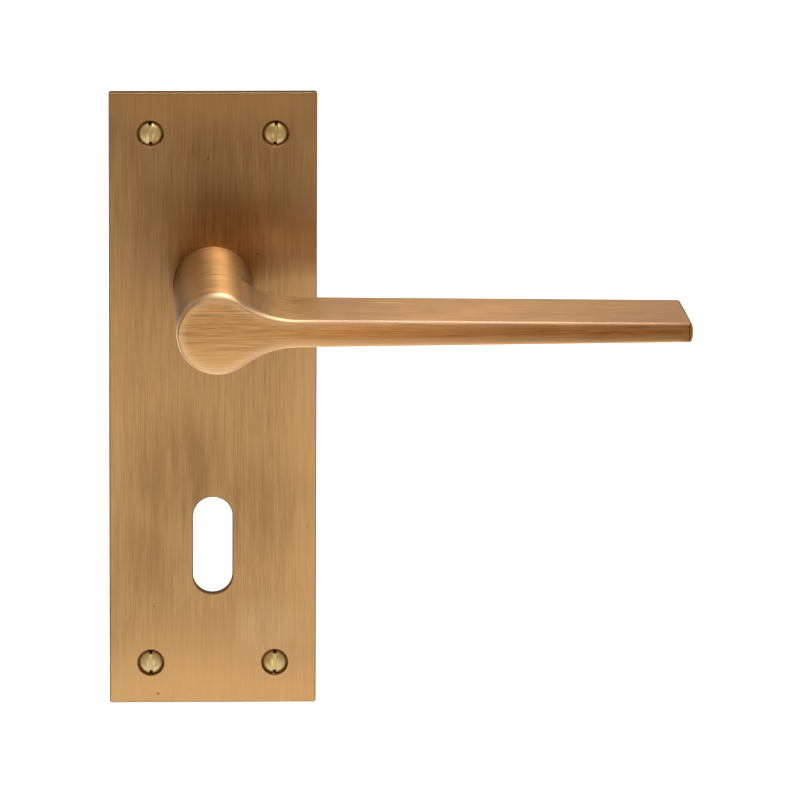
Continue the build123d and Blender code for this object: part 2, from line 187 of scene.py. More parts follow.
def area_light(name, place, target, size, size_y, power):
    """Rectangular light aimed at the target, power in watts."""
    data = bpy.data.lights.new(name, "AREA")
    data.energy = power
    data.shape = "RECTANGLE"
    data.size = size
    data.size_y = size_y
    light = new_object(name, data)
    light.location = place
    aim = Vector(target) - Vector(place)
    light.rotation_euler = aim.to_track_quat("-Z", "Y").to_euler()
    light.visible_camera = False


def ramp_of(tree, value, stops):
    """Colour ramp over stops of (position, colour)."""
    ramp = tree.nodes.new("ShaderNodeValToRGB")
    colours = ramp.color_ramp
    colours.interpolation = "EASE"
    while len(colours.elements) < len(stops):
        colours.elements.new(0.5)
    for element, (position, colour) in zip(colours.elements, stops):
        element.position = position
        element.color = (*colour, 1)
    tree.links.new(value, ramp.inputs[0])
    return ramp.outputs[0]


def span_of(tree, coordinate, low, high):
    """Where Y of this coordinate lies between low and high, as 0 to 1."""
    coord = tree.nodes.new("ShaderNodeTexCoord")
    split = tree.nodes.new("ShaderNodeSeparateXYZ")
    tree.links.new(coord.outputs[coordinate], split.inputs[0])
    span = tree.nodes.new("ShaderNodeMapRange")
    span.inputs["From Min"].default_value = low
    span.inputs["From Max"].default_value = high
    tree.links.new(split.outputs["Y"], span.inputs["Value"])
    return span.outputs[0]


def make_world():
    """A pale room, dimmer and warmer on the side that the object faces."""
    world = bpy.data.worlds.new("studio")
    world.use_nodes = True
    tree = world.node_tree
    across = span_of(tree, "Generated", -1.0, 1.0)
    sky = ramp_of(tree, across, [(0.35, FRONT_TONE), (0.50, SIDE_TONE), (0.75, BACK_TONE)])
    tree.links.new(sky, tree.nodes["Background"].inputs["Color"])
    bpy.context.scene.world = world


def make_floor():
    """A pale floor, white behind the object and as dim as the room in front of it."""
    mesh = bpy.data.meshes.new("floor")
    signs = [(-1, -1), (1, -1), (1, 1), (-1, 1)]
    corners = [(x * FLOOR_HALF, y * FLOOR_HALF, FLOOR_Z) for x, y in signs]
    mesh.from_pydata(corners, [], [(0, 1, 2, 3)])
    floor = new_object("floor", mesh)
    material = bpy.data.materials.new("floor")
    material.use_nodes = True
    tree = material.node_tree
    across = span_of(tree, "Object", FLOOR_FRONT_Y, FLOOR_BACK_Y)
    tone = ramp_of(tree, across, [(0.0, FRONT_TONE), (FLOOR_MIDDLE, MIDDLE_TONE), (1.0, (1.0, 1.0, 1.0))])
    glow = tree.nodes.new("ShaderNodeMapRange")
    shader = tree.nodes["Principled BSDF"]
    shader.inputs["Base Color"].default_value = (0.2, 0.2, 0.2, 1)
    shader.inputs["Roughness"].default_value = 0.9
    tree.links.new(tone, shader.inputs["Emission Color"])
    glow.inputs["From Min"].default_value = FLOOR_MIDDLE
    glow.inputs["To Min"].default_value = 1.0
    glow.inputs["To Max"].default_value = 1.4
    tree.links.new(across, glow.inputs["Value"])
    tree.links.new(glow.outputs[0], shader.inputs["Emission Strength"])
    mesh.materials.append(material)


def make_lights():
    """Softboxes above, and cards low in front that the brushed faces reflect."""
    centre = (0.03, -0.03, -0.02)
    area_light("top_softbox", (0.05, -0.1, 0.8), centre, 0.6, 0.6, 1.6)
    area_light("over_hub", (0.06, -0.06, 0.3), (0.0, -0.04, 0.0), 0.12, 0.08, 0.54)
    area_light("upper_left_softbox", (-0.65, -0.15, 0.55), centre, 0.4, 0.4, 0.3)
    # low cards in front: their upper edges end the bright part of the plate
    area_light("low_card_top", (-0.004, CARD_Y, -0.0875), (-0.004, 0, -0.0875), 0.092, 0.065, 0.068)
    area_light("low_card", (-0.004, CARD_Y, -0.22), (-0.004, 0, -0.22), 0.092, 0.2, 0.197)
    area_light("low_card_right", (0.26, CARD_Y, -0.0875), (0.26, 0, -0.0875), 0.16, 0.065, 0.026)


# ---- mesh code

class Build:
    """Collects the faces of one piece, which may hold several closed solids.

    Each point keeps the value that was set when it was added: how worn it is, which the lever also uses
    for painted highlight.
    """

    def __init__(self):
        self.points = []
        self.faces = []
        self.values = []
        self.value = 0.0

    def loop(self, points):
        """Add points and give their numbers."""
        first = len(self.points)
        self.points.extend(Vector(p) for p in points)
        self.values.extend([self.value] * len(points))
        return list(range(first, len(self.points)))

    def bridge(self, a, b, closed=True):
        n = len(a)
        for i in range(n if closed else n - 1):
            j = (i + 1) % n
            self.faces.append((a[i], a[j], b[j], b[i]))

    def fill(self, ring):
        self.faces.append(tuple(ring))

    def skin(self, rings, caps=False):
        """Join each ring to the next and close both ends if asked."""
        for a, b in zip(rings, rings[1:]):
            self.bridge(a, b)
        if caps:
            self.fill(rings[0])
            self.fill(rings[-1])

    def finish(self, name, body, material, replaces=(), weld=2e-7, attribute=None):
        """Make the piece; an attribute named here holds the values."""
        mesh = bpy.data.meshes.new(name)
        bm = bmesh.new()
        layer = bm.verts.layers.float.new(attribute) if attribute else None
        verts = [bm.verts.new(p) for p in self.points]
        if layer:
            for vert, value in zip(verts, self.values):
                vert[layer] = value
        for face in self.faces:
            ring = []
            for index in face:
                if not ring or verts[index] is not ring[-1]:
                    ring.append(verts[index])
            if len(set(ring)) > 2:
                try:
                    bm.faces.new(ring)
                except ValueError:
                    pass
        bmesh.ops.remove_doubles(bm, verts=bm.verts, dist=weld)
        bmesh.ops.dissolve_degenerate(bm, edges=bm.edges, dist=weld)
        bmesh.ops.recalc_face_normals(bm, faces=bm.faces)
        for face in bm.faces:
            face.smooth = True
        bm.to_mesh(mesh)
        bm.free()
        mesh.materials.append(material)
        piece = new_object(name, mesh)
        weigh_normals(piece)
        if body:
            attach(piece, body)
        if replaces:
            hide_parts(*replaces)
        return piece


def weigh_normals(piece, angle=40.0):
    """Flat faces shade flat and the small roundings between them stay smooth."""
    bm = bmesh.new()
    bm.from_mesh(piece.data)
    limit = radians(angle)
    for edge in bm.edges:
        if len(edge.link_faces) == 2:
            edge.smooth = edge.calc_face_angle(0.0) < limit
    bm.to_mesh(piece.data)
    bm.free()
    modifier = piece.modifiers.new("normals", "WEIGHTED_NORMAL")
    modifier.keep_sharp = True
    modifier.weight = 80


def round_profile(corners, steps=4):
    """Profile points (radius, y) with each corner (r, y, rounding) rounded off."""
    out = []
    n = len(corners)
    for i, (r, y, rounding) in enumerate(corners):
        here = Vector((r, y))
        if rounding <= 0:
            out.append(here)
            continue
        before = Vector(corners[i - 1][:2]) - here
        after = Vector(corners[(i + 1) % n][:2]) - here
        angle = before.angle(after)
        reach = rounding / tan(angle / 2)
        a = here + before.normalized() * reach
        b = here + after.normalized() * reach
        middle = (before.normalized() + after.normalized()).normalized()
        centre = here + middle * (rounding / sin(angle / 2))
        for k in range(steps + 1):
            arm = (a - centre).lerp(b - centre, k / steps).normalized()
            out.append(centre + arm * rounding)
    return out


def round_angles(count):
    """Evenly spaced angles of a full turn."""
    return [tau * i / count for i in range(count)]


def on_ring(radius, angle, y, x=0.0, z=0.0):
    """Point at this radius and angle round a Y axis through x, z."""
    return (x + radius * cos(angle), y, z + radius * sin(angle))


def lathe(build, profile, segments, x=0.0, z=0.0, closed=True):
    """Turn (radius, y) points round the Y axis at x, z."""
    rings = []
    for radius, y in profile:
        points = [on_ring(radius, a, y, x, z) for a in round_angles(segments)]
        rings.append(build.loop(points))
    build.skin(rings + rings[:1] if closed else rings)
    return rings


def stud_places():
    """Axes of the three studs, the first one straight up."""
    reach = STUDS_HIGH.z - STUD_HEAD_R
    for degrees in (90.0, 210.0, 330.0):
        a = radians(degrees)
        yield reach * cos(a), reach * sin(a)


def screw_places():
    """Axes of the four wood screws, the upper two first."""
    for z in (SCREW_TOP_Z, SCREW_LOW_Z):
        for side in (-1, 1):
            yield side * SCREW_X, z


# ---- lever

def disc_edge(angle):
    """Front edge radius round the disc: widest at the top, where it is worn most."""
    return LOW_EDGE_R + (TOP_EDGE_R - LOW_EDGE_R) * max(0.0, sin(angle)) ** 1.5


def outline_stations():
    """Upper half of the lever's front outline: point, outward normal, kind and edge radius."""
    cz = HALF_ROOT + BLEND_R
    cx = sqrt((NECK_R + BLEND_R) ** 2 - cz**2)
    meet = atan2(cz, cx)
    out = []
    steps = 56
    for i in range(steps + 1):
        a = pi + (meet - pi) * i / steps
        n = Vector((cos(a), sin(a)))
        out.append((n * NECK_R, n, "disc", disc_edge(a)))
    steps = 28
    for i in range(1, steps + 1):
        t = i / steps
        a = (pi + meet) + (pi / 2 - meet) * t
        n = -Vector((cos(a), sin(a)))
        p = Vector((cx, cz)) - n * BLEND_R
        ease = t * t * (3 - 2 * t)
        out.append((p, n, "blend", disc_edge(meet) + (GRIP_EDGE_R - disc_edge(meet)) * ease))
    dome_x = TIP_X - TIP_DOME_R
    corner_z = HALF_TIP - CORNER_R
    lean = asin(corner_z / (TIP_DOME_R - CORNER_R))
    corner_x = dome_x + cos(lean) * (TIP_DOME_R - CORNER_R)
    steps = 40
    for i in range(1, steps + 1):
        t = i / steps
        x = cx + (corner_x - cx) * t
        z = HALF_ROOT + (HALF_TIP - HALF_ROOT) * t
        out.append((Vector((x, z)), Vector((0.007, 1.0)).normalized(), "grip", GRIP_EDGE_R))
    steps = 6
    for i in range(1, steps + 1):
        a = pi / 2 + (lean - pi / 2) * i / steps
        n = Vector((cos(a), sin(a)))
        out.append((Vector((corner_x, corner_z)) + n * CORNER_R, n, "tip", GRIP_EDGE_R))
    steps = 6
    for i in range(1, steps + 1):
        t = i / steps
        a = lean * (1 - t)
        n = Vector((cos(a), sin(a)))
        radius = GRIP_EDGE_R + (TIP_EDGE_R - GRIP_EDGE_R) * t
        out.append((Vector((dome_x, 0)) + n * TIP_DOME_R, n, "tip", radius))
    return out, meet, cx


def rear_plane(x):
    """Y of the grip's rear face at x."""
    t = (x - NECK_R) / (TIP_X - NECK_R)
    return LEVER_FRONT + DEPTH_ROOT + (DEPTH_TIP - DEPTH_ROOT) * t


def tip_shift(x, y, start):
    """The end face leans back, so the last stretch of the grip shortens towards the rear."""
    if x < start:
        return 0.0
    w = (x - start) / (TIP_X - start)
    depth = (y - LEVER_FRONT) / DEPTH_TIP
    bow = 0.07 * MM * 4 * depth * (1 - depth)
    return w * (bow - TIP_BACK * depth)


def lever_mesh(material):
    """Grip, disc and plain neck as one closed solid that knows where its edges are worn and take painted
    highlight.
    """
    build = Build()
    stations, meet, cx = outline_stations()
    lower = []
    for p, n, kind, radius in stations[-2:0:-1]:
        radius = radius if kind == "tip" else LOW_EDGE_R
        lower.append((Vector((p.x, -p.y)), Vector((n.x, -n.y)), kind, radius))
    loops = grip_walls(build, stations + lower, cx)
    front_face(build, loops[0], len(stations))
    disc_count = sum(kind == "disc" for _, _, kind, _ in stations)
    neck_walls(build, loops[-1], disc_count, meet)
    piece = build.finish("lever_body", None, material, attribute="edge_wear_and_highlight")
    cut_grub_hole(piece)
    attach(piece, "lever")
    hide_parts("lever_handle")


def grip_walls(build, ring, cx):
    """Loops over the front rounding, the walls and the rear rounding, in that order."""
    shift_start = cx + 0.4 * (TIP_X - cx)
    front_steps = 8
    wall_start = 0.02
    wall_steps = 10
    rear_steps = 5

    def place(station, inset, y):
        q = station[0] - station[1] * inset
        return (q.x + tip_shift(q.x, y, shift_start), y, q.y)

    loops = []
    for k in range(front_steps + 1):
        a = pi / 2 * k / front_steps
        build.value = FACE_WEAR + (1 - FACE_WEAR) * sin(2 * a)
        points = []
        for s in ring:
            inset = s[3] * (1 - sin(a))
            points.append(place(s, inset, LEVER_FRONT + s[3] * (1 - cos(a))))
        loops.append(build.loop(points))
    build.value = 0.0
    for t in [wall_start] + [k / wall_steps for k in range(1, wall_steps + 1)]:
        points = []
        for s in ring:
            rear = rear_plane(s[0].x) - rear_radius(s, cx)
            y = LEVER_FRONT + s[3] + (rear - LEVER_FRONT - s[3]) * t
            points.append(place(s, 0.0, y))
        loops.append(build.loop(points))
    for k in range(1, rear_steps + 1):
        a = pi / 2 * k / rear_steps
        build.value = sin(2 * a)
        points = []
        for s in ring:
            r = rear_radius(s, cx)
            y = rear_plane(s[0].x) - r + r * sin(a)
            points.append(place(s, r * (1 - cos(a)), y))
        loops.append(build.loop(points))
        for index, s in zip(loops[-1], ring):
            build.values[index] *= rear_radius(s, cx) / REAR_EDGE_R
    build.value = 0.0
    build.skin(loops)
    return loops


def front_face(build, front, half):
    """A ladder between the upper and lower outline, worn next to the edges."""
    total = len(front)
    rungs = 14
    outline = [build.points[i] for i in front]
    rows = []
    for i in range(half):
        upper, under = front[i], front[(total - i) % total]
        if upper == under:
            rows.append([upper] * (rungs + 1))
            continue
        a, b = build.points[upper], build.points[under]
        middle = []
        for j in range(1, rungs):
            point = a.lerp(b, (1 - cos(pi * j / rungs)) / 2)
            gap = min((point - q).length for q in outline)
            build.value = FACE_WEAR * max(0.0, 1 - gap / WEAR_REACH) ** 1.5
            middle += build.loop([point])
        rows.append([upper] + middle + [under])
    build.value = 0.0
    for a, b in zip(rows, rows[1:]):
        build.bridge(a, b, closed=False)


def neck_walls(build, rear, disc_count, meet):
    """The disc's wall goes on to the plate, with the grip's rear face beside it."""
    fillet = 0.9 * MM
    fillet_steps = 5
    fade_rate = 2.2
    inner_steps = 44
    edge = 0.35 * MM
    edge_steps = 4
    levels = 16
    total = len(rear)
    last = disc_count - 1
    rows = []
    for k in range(fillet_steps + 1):
        a = pi / 2 * k / fillet_steps
        row = []
        for i in range(1, inner_steps):
            angle = meet - 2 * meet * i / inner_steps
            fade = min(1.0, sin(pi * i / inner_steps) * fade_rate)
            f = fillet * fade
            r = NECK_R + f * (1 - sin(a))
            y = rear_plane(r * cos(angle)) + f * (1 - cos(a))
            row.append(on_ring(r, angle, y))
        rows.append(build.loop(row))
    top_join, low_join = [rear[last]], [rear[total - last]]
    for a, b in zip(rows, rows[1:]):
        build.bridge(top_join + a + low_join, top_join + b + low_join, closed=False)
    build.fill(rear[last:total - last + 1] + rows[0][::-1])

    # full ring at the start of the plain neck: lower arc, left pole, upper arc, inner arc
    base = rear[total - last:] + rear[:disc_count] + rows[-1]
    base_points = [build.points[i].copy() for i in base]
    rings = [base]
    for k in range(1, levels + 1):
        t = k / levels
        points = []
        for p in base_points:
            flat = Vector((p.x, 0, p.z)).normalized() * NECK_R
            y = p.y + (NECK_END - edge - p.y) * t
            points.append((flat.x, y, flat.z))
        rings.append(build.loop(points))
    for k in range(1, edge_steps + 1):
        a = pi / 2 * k / edge_steps
        build.value = sin(2 * a)
        r = NECK_R - edge * (1 - cos(a))
        points = []
        for p in base_points:
            flat = Vector((p.x, 0, p.z)).normalized() * r
            points.append((flat.x, NECK_END - edge + edge * sin(a), flat.z))
        rings.append(build.loop(points))
    build.value = 0.0
    build.skin(rings)
    build.fill(rings[-1])


def rear_radius(station, cx):
    """Rounding of the grip's rear outline, which dies away at the neck."""
    point, _, kind, _ = station
    fade_start = 6.0 * MM
    fade_rate = 1.4
    if kind == "disc":
        return 0.0
    if kind == "blend":
        reach = (point.x - fade_start) / (cx - fade_start)
        return REAR_EDGE_R * max(0.0, min(1.0, reach * fade_rate))
    return REAR_EDGE_R


def cut_grub_hole(piece):
    """Blind tapped hole under the neck, with a broken edge."""
    cutter = Build()
    segments = 48
    bottom = -4.1 * MM
    mouth = -(NECK_R + 0.6 * MM)
    centre_r = GRUB_HOLE_R * 0.2
    profile = [(centre_r, bottom), (GRUB_HOLE_R, bottom), (GRUB_HOLE_R, -(NECK_R - 0.45 * MM)),
               (GRUB_HOLE_R + 1.1 * MM, mouth), (centre_r, mouth)]
    rings = []
    for r, z in profile:
        points = [(r * cos(a), GRUB_Y + r * sin(a), z) for a in round_angles(segments)]
        rings.append(cutter.loop(points))
    cutter.skin(rings, caps=True)
    tool = cutter.finish("grub_cutter", None, piece.data.materials[0])
    carve(piece, tool)


def carve(piece, tool, materials="INDEX"):
    """Cut the tool out of the piece for good and throw the tool away."""
    piece.modifiers.clear()
    tool.modifiers.clear()
    cut = piece.modifiers.new("cut", "BOOLEAN")
    cut.operation = "DIFFERENCE"
    cut.solver = "EXACT"
    cut.object = tool
    cut.material_mode = materials
    graph = bpy.context.evaluated_depsgraph_get()
    graph.update()
    result = bpy.data.meshes.new_from_object(piece.evaluated_get(graph))
    piece.modifiers.remove(cut)
    old = piece.data
    name = old.name
    piece.data = result
    bpy.data.meshes.remove(old)
    result.name = name
    mesh = tool.data
    bpy.data.objects.remove(tool)
    bpy.data.meshes.remove(mesh)
    for polygon in result.polygons:
        polygon.use_smooth = True
    weigh_normals(piece)


def square_ring(half, rounding, y, count):
    """Points of a rounded square in step with a circle of the same count."""
    points = []
    for a in round_angles(count):
        c, s = cos(a), sin(a)
        reach = half / max(abs(c), abs(s))
        x, z = reach * c, reach * s
        inner = half - rounding
        if abs(x) > inner and abs(z) > inner:
            corner = Vector((copysign(inner, x), copysign(inner, z)))
            arm = Vector((x, z)) - corner
            arm = arm.normalized() * rounding if arm.length > 1e-9 else arm
            x, z = corner.x + arm.x, corner.y + arm.y
        points.append((x, y, z))
    return points


def lever_journal(material):
    """The turned stem behind the neck: flats for the cam, clip groove, square socket."""
    build = Build()
    count = 128
    flat = 6.25 * MM
    end = LEVER_HIGH.y
    start = NECK_END - 0.1 * MM
    groove0, groove1, groove_r = 9.45 * MM, 10.45 * MM, 7.05 * MM
    flats_from = 7.4 * MM
    chamfer = 0.3 * MM

    def ring(radius, y, flats):
        limit = flat if flats else radius
        points = [on_ring(radius, a, y) for a in round_angles(count)]
        return build.loop([(x, y, max(-limit, min(limit, z))) for x, y, z in points])

    tiny = 0.02 * MM
    stages = [(JOURNAL_R, start, False), (JOURNAL_R, flats_from - tiny, False),
              (JOURNAL_R, flats_from, True), (JOURNAL_R, groove0, True),
              (groove_r, groove0 + tiny, True), (groove_r, groove1 - tiny, True),
              (JOURNAL_R, groove1, True), (JOURNAL_R, end - chamfer, True),
              (JOURNAL_R - chamfer, end, True)]
    rings = [ring(*stage) for stage in stages]
    lip = 0.15 * MM
    socket = [(SOCKET_HALF + lip, 0.4 * MM, end), (SOCKET_HALF, 0.3 * MM, end - lip),
              (SOCKET_HALF, 0.3 * MM, start)]
    rings += [build.loop(square_ring(*stage, count)) for stage in socket]
    build.skin(rings + rings[:1])
    piece = build.finish("lever_journal", "lever", material)


# ---- fasteners and turned parts

def thread_profile(phase):
    """Height from 0 in the root to 1 on the crest of a wood screw's thread."""
    rise = 0.30
    crest = 0.08
    phase %= 1.0
    if phase < rise:
        return phase / rise
    if phase < rise + crest:
        return 1.0
    if phase < 2 * rise + crest:
        return 1.0 - (phase - rise - crest) / rise
    return 0.0


def wood_screw(build, x, z):
    """Raised countersunk head, plain shank, wood thread and gimlet point, as one solid."""
    around = 56
    top = SCREWS_LOW.y
    rim = SCREW_HEAD_R
    dome = 0.95 * MM
    rim_y = top + 1.10 * MM
    sphere = (rim**2 + dome**2) / (2 * dome)
    spread = asin(rim / sphere)
    dome_steps = 16
    profile = []
    for k in range(1, dome_steps + 1):
        a = spread * k / dome_steps
        profile.append((sphere * sin(a), top + sphere * (1 - cos(a))))
    shoulder, shank = 1.7 * MM, 1.45 * MM
    profile += [(rim, rim_y - 0.05 * MM), (rim - 0.05 * MM, rim_y), (shoulder, rim_y + rim - shoulder),
                (shoulder, -0.05 * MM), (shank, 0.0)]
    start, stop = 8.4 * MM, SCREWS_HIGH.y
    profile += [(shank, start * t) for t in (0.33, 0.66)]
    rings = lathe(build, profile, around, x, z, closed=False)
    build.fill(rings[0])
    rings = rings[-1:]
    pitch = 1.35 * MM
    rings_per_turn = 12
    count = int((stop - start) / pitch * rings_per_turn)
    for k in range(count + 1):
        y = start + (stop - start) * k / count
        left = stop - y
        taper = min(1.0, (left / (3.2 * MM)) ** 0.8)
        run_in = min(1.0, (y - start) / (1.4 * MM))
        core = 1.08 * MM * taper * run_in + shank * (1 - run_in)
        crest = min(1.0, left / (1.2 * MM))
        points = []
        for i in range(around):
            a = tau * i / around
            rise = (shank * max(taper, 0.25) - core) * thread_profile(y / pitch - i / around) * crest
            r = max(core + rise, 0.02 * MM)
            points.append(on_ring(r, a, y, x, z))
        rings.append(build.loop(points))
    build.skin(rings)
    build.fill(rings[-1])


def slot_cutter(build, x, z, turn):
    """Bar that cuts a screw slot, with a slightly flared mouth."""
    half, flare = 0.40 * MM, 0.47 * MM
    top = SCREWS_LOW.y
    reach = 3.2 * MM
    c, s = cos(turn), sin(turn)
    rings = []
    for v in (-reach, reach):
        outline = [(-half, 1.0 * MM), (half, 1.0 * MM), (half, 0.22 * MM), (flare, -0.3 * MM),
                   (-flare, -0.3 * MM), (-half, 0.22 * MM)]
        rings.append(build.loop([(x + u * c - v * s, top + y, z + u * s + v * c) for u, y in outline]))
    build.skin(rings, caps=True)


def wood_screws(material, slot_material):
    """Four screws, each with its slot turned a few degrees its own way."""
    build, cutter = Build(), Build()
    turns = (2.0, -3.0, 1.5, -1.0)
    for (x, z), turn in zip(screw_places(), turns):
        wood_screw(build, x, z)
        slot_cutter(cutter, x, z, radians(turn))
    piece = build.finish("slotted_screws", None, material)
    carve(piece, cutter.finish("slot_cutter", None, slot_material), "TRANSFER")
    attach(piece, "plate")
    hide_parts("wood_screws")


def hex_nut(build, x, z, y0, y1, flats, hole, count=96):
    """Hexagon nut with both faces chamfered, which leaves curved arcs on the flats."""
    face_r = flats / 2 * 0.97
    slope = tan(radians(28))
    sink_r = hole + 0.28 * MM
    sink_depth = 0.25 * MM
    angles = round_angles(count)
    faces = []
    for y, way in ((y0, 1), (y1, -1)):
        outer, inner = [], []
        for a in angles:
            r = flats / 2 / cos((a + pi / 6) % (pi / 3) - pi / 6)
            drop = max(0.0, r - face_r) * slope
            outer.append(on_ring(r, a, y + way * drop, x, z))
            inner.append(on_ring(min(face_r, r), a, y, x, z))
        sink = [on_ring(sink_r, a, y, x, z) for a in angles]
        faces.append([build.loop(points) for points in (outer, inner, sink)])
    bores = [build.loop([on_ring(hole, a, y, x, z) for a in angles])
             for y in (y0 + sink_depth, y1 - sink_depth)]
    low, high = faces
    build.skin([*low[::-1], *high, *bores[::-1], low[2]])


def machine_thread(build, x, z, radius, y0, y1, pitch, around=36, per_pitch=8):
    """Threaded rod end with a chamfered point, open at y0."""
    depth = pitch * 0.55
    count = int((y1 - y0) / pitch * per_pitch)
    rings = []
    for k in range(count + 1):
        y = y0 + (y1 - y0) * k / count
        limit = radius - max(0.0, 0.3 * MM - (y1 - y))
        run_in = min(1.0, (y - y0) / pitch)
        points = []
        for i in range(around):
            a = tau * i / around
            wave = 0.5 - 0.5 * cos(tau * (y / pitch - i / around))
            r = min(limit, radius - depth * wave * run_in)
            points.append(on_ring(r, a, y, x, z))
        rings.append(build.loop(points))
    build.skin(rings)
    build.fill(rings[-1])


def mounting_studs(material):
    """Three studs with flat heads and threaded ends."""
    build = Build()
    head = -1.8 * MM
    seat = -0.6 * MM
    edge = 0.1 * MM
    corners = [(0.8 * MM, head, 0), (STUD_HEAD_R, head, 2 * edge), (STUD_HEAD_R, seat, edge),
               (STUD_R, seat, edge), (STUD_R, STUD_THREAD_Y, 0)]
    for x, z in stud_places():
        rings = lathe(build, round_profile(corners, 3), 36, x, z, closed=False)
        build.fill(rings[0])
        machine_thread(build, x, z, STUD_R, STUD_THREAD_Y, STUDS_HIGH.y, 0.5 * MM)
    build.finish("stud_bolts", "plate", material, ("mounting_studs",))


def nuts(material):
    """One hexagon nut on each stud."""
    build = Build()
    for x, z in stud_places():
        hex_nut(build, x, z, NUTS_LOW.y, NUTS_HIGH.y, 5.5 * MM, 1.55 * MM)
    build.finish("hexagon_nuts", "plate", material, ("stud_nuts",))


def ring_group(name, node, material, outer, inner, edge):
    """One washer or sleeve round each stud."""
    low, high = box_of(node)
    corners = [(inner, low.y, edge), (outer, low.y, edge), (outer, high.y, edge), (inner, high.y, edge)]
    build = Build()
    for x, z in stud_places():
        lathe(build, round_profile(corners, 3), 64, x, z)
    build.finish(name, "plate", material, (node,))


def housing(material):
    """Drawn steel cup: rolled outer corner, thin wall, open towards the door."""
    low, high = box_of("spring_housing")
    r, wall, floor = high.x, 1.0 * MM, 1.2 * MM
    hole = HOUSING_HOLE_R
    corners = [(hole, low.y, 0.1 * MM), (r, low.y, 0.45 * MM), (r, high.y, 0.2 * MM),
               (r - wall, high.y, 0.2 * MM), (r - wall, low.y + floor, 0.6 * MM),
               (hole, low.y + floor, 0.1 * MM)]
    build = Build()
    lathe(build, round_profile(corners, 4), 160)
    build.finish("cassette_cup", "plate", material, ("spring_housing",))


def cover(material):
    """Cover plate with a shallow groove pressed round the bush."""
    low, high = box_of("housing_cover")
    hole = HOUSING_HOLE_R
    groove_y = high.y - 0.22 * MM
    corners = [(hole, low.y, 0.05 * MM), (high.x, low.y, 0.1 * MM), (high.x, high.y, 0.35 * MM),
               (14.6 * MM, high.y, 0.5 * MM), (14.2 * MM, groove_y, 0.4 * MM),
               (12.2 * MM, groove_y, 0.4 * MM), (11.8 * MM, high.y, 0.5 * MM),
               (hole, high.y, 0.05 * MM)]
    build = Build()
    lathe(build, round_profile(corners, 3), 160)
    build.finish("cassette_cover", "plate", material, ("housing_cover",))


def spindle_bar(material):
    """Square bar with softened long edges and chamfered ends."""
    low, high = box_of("spindle")
    count = 64
    edge = 0.55 * MM
    steps = 24
    length = high.y - low.y - 2 * edge
    stages = [(low.y, edge), (low.y + edge, 0.0)]
    stages += [(low.y + edge + length * k / steps, 0.0) for k in range(1, steps)]
    stages += [(high.y - edge, 0.0), (high.y, edge)]
    build = Build()
    rings = [build.loop(square_ring(high.x - inset, 0.35 * MM, y, count)) for y, inset in stages]
    build.skin(rings, caps=True)
    build.finish("square_spindle", "lever", material, ("spindle",))


def spring_coil(material):
    """Round wire wound clockwise, with a straight leg at each end."""
    wire = 0.8 * MM
    radius = 13.0 * MM
    turns = 2.5
    pitch = 1.62 * MM
    y0 = 1.9 * MM
    foot = radians(89.6)
    leg = 11.0 * MM
    first = foot + tau * turns
    steps = 150
    leg_steps = 12
    path = []
    for k in range(steps + 1):
        a = first - tau * turns * k / steps
        path.append(Vector(on_ring(radius, a, y0 + turns * pitch * k / steps)))
    enter = (path[0] - path[1]).normalized()
    leave = (path[-1] - path[-2]).normalized()
    before = [path[0] + enter * leg * (1 - k / leg_steps) for k in range(leg_steps)]
    after = [path[-1] + leave * leg * (k + 1) / leg_steps for k in range(leg_steps)]
    path = before + path + after
    build = Build()
    around = 16
    rings = []
    for i, p in enumerate(path):
        ahead = path[min(i + 1, len(path) - 1)]
        behind = path[max(i - 1, 0)]
        tangent = (ahead - behind).normalized()
        side = tangent.cross(Vector((0, 1, 0))).normalized()
        up = side.cross(tangent).normalized()
        points = [p + (side * cos(a) + up * sin(a)) * wire for a in round_angles(around)]
        rings.append(build.loop(points))
    build.skin(rings, caps=True)
    piece = build.finish("spring_wire", None, material)
    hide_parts("return_spring")
    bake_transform(piece)


# ---- materials

# the two inputs and the output that a mix node uses for each kind
MIX_SOCKETS = {"FLOAT": (2, 3, 0), "VECTOR": (4, 5, 1), "RGBA": (6, 7, 2)}


